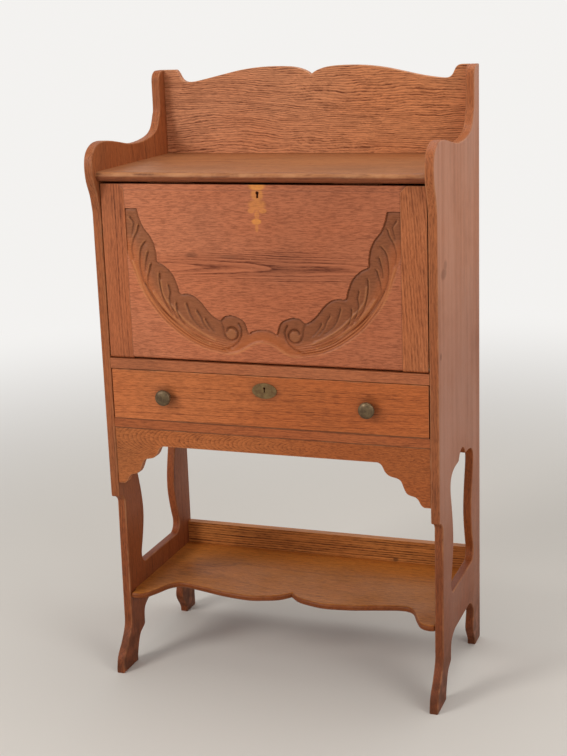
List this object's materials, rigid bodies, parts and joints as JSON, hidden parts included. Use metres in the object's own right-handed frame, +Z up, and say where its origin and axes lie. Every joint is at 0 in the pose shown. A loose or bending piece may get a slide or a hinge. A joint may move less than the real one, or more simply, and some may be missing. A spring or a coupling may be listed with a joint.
{
  "type": "fall-front writing desk",
  "caption": "Oak escritoire with pierced sides, a carved fall that drops level on slotted stays, pigeonholes, a drawer, a scalloped apron and a lower shelf.",
  "frame": {"origin": "middle of the floor rectangle that the desk stands on", "axes": "+Z up, +Y to the back, +X to the right as seen from the front"},
  "size_m": [0.7, 0.384, 1.2401],
  "materials": {
    "oak": "satin, reddish golden oak with open grain",
    "oak_inside": "matt, unstained oak",
    "brass": "dull brass",
    "bronze": "dark aged bronze",
    "steel": "dull iron and steel"
  },
  "bodies": {
    "case": {"side_panel_left": "oak", "side_panel_right": "oak", "top_shelf": "oak", "gallery_board": "oak", "gallery_screws": "steel", "bed_rail": "oak", "drawer_rail": "oak", "writing_bed": "oak", "back_panel": "oak_inside", "back_nails": "steel", "drawer_kicker_left": "oak_inside", "drawer_kicker_right": "oak_inside", "drawer_runner_left": "oak_inside", "drawer_runner_right": "oak_inside", "drawer_stops": "oak_inside", "apron": "oak", "apron_glue_blocks": "oak_inside", "lower_shelf": "oak", "lower_back_rail": "oak", "pivot_bushes": "brass", "fall_stops": "oak_inside", "fall_strike_plate": "brass", "strike_screws": "steel", "pigeonhole_end_left": "oak", "pigeonhole_end_right": "oak", "pigeonhole_top": "oak", "pigeonhole_divider_1": "oak", "pigeonhole_divider_2": "oak", "pigeonhole_divider_3": "oak", "pigeonhole_divider_4": "oak", "stay_posts": "brass"},
    "fall": {"fall_panel": "oak", "fall_stile_left": "oak", "fall_stile_right": "oak", "fall_pivot_pins": "steel", "fall_lock_case": "steel", "fall_lock_screws": "steel", "stay_lugs": "brass", "stay_lug_pins": "brass", "stay_lug_screws": "steel"},
    "fall_bolt": {"fall_lock_bolt": "brass"},
    "stay_left": {"stay_arm_left": "brass"},
    "stay_right": {"stay_arm_right": "brass"},
    "drawer": {"drawer_front": "oak", "drawer_side_left": "oak_inside", "drawer_side_right": "oak_inside", "drawer_bottom": "oak_inside", "drawer_back": "oak_inside", "drawer_knob_left": "bronze", "drawer_knob_right": "bronze", "knob_bolts": "steel", "drawer_escutcheon": "bronze", "escutcheon_pins": "brass", "drawer_lock_case": "steel", "drawer_lock_screws": "steel"},
    "drawer_bolt": {"drawer_lock_bolt": "brass"}
  },
  "joints": [
    {"name": "fall_hinge", "type": "hinge", "parent": "case", "child": "fall", "pos_m": [0, -0.1555, 0.691], "axis": [1, 0, 0], "range_deg": [0, 90]},
    {"name": "stay_left_swing", "type": "hinge", "parent": "fall", "child": "stay_left", "pos_m": [-0.31925, -0.1325, 0.83923], "axis": [1, 0, 0], "range_deg": [-45, 0]},
    {"name": "stay_right_swing", "type": "hinge", "parent": "fall", "child": "stay_right", "pos_m": [0.31925, -0.1325, 0.83923], "axis": [1, 0, 0], "range_deg": [-45, 0]},
    {"name": "fall_bolt_slide", "type": "slide", "parent": "fall", "child": "fall_bolt", "axis": [0, 0, 1], "range_m": [0, 0.01]},
    {"name": "drawer_slide", "type": "slide", "parent": "case", "child": "drawer", "axis": [0, -1, 0], "range_m": [0, 0.22]},
    {"name": "drawer_bolt_slide", "type": "slide", "parent": "drawer", "child": "drawer_bolt", "axis": [0, 0, 1], "range_m": [0, 0.01]}
  ],
  "couplings": [
    {"joint": "stay_left_swing", "follows": "fall_hinge", "ratio": -0.5},
    {"joint": "stay_right_swing", "follows": "fall_hinge", "ratio": -0.5}
  ]
}
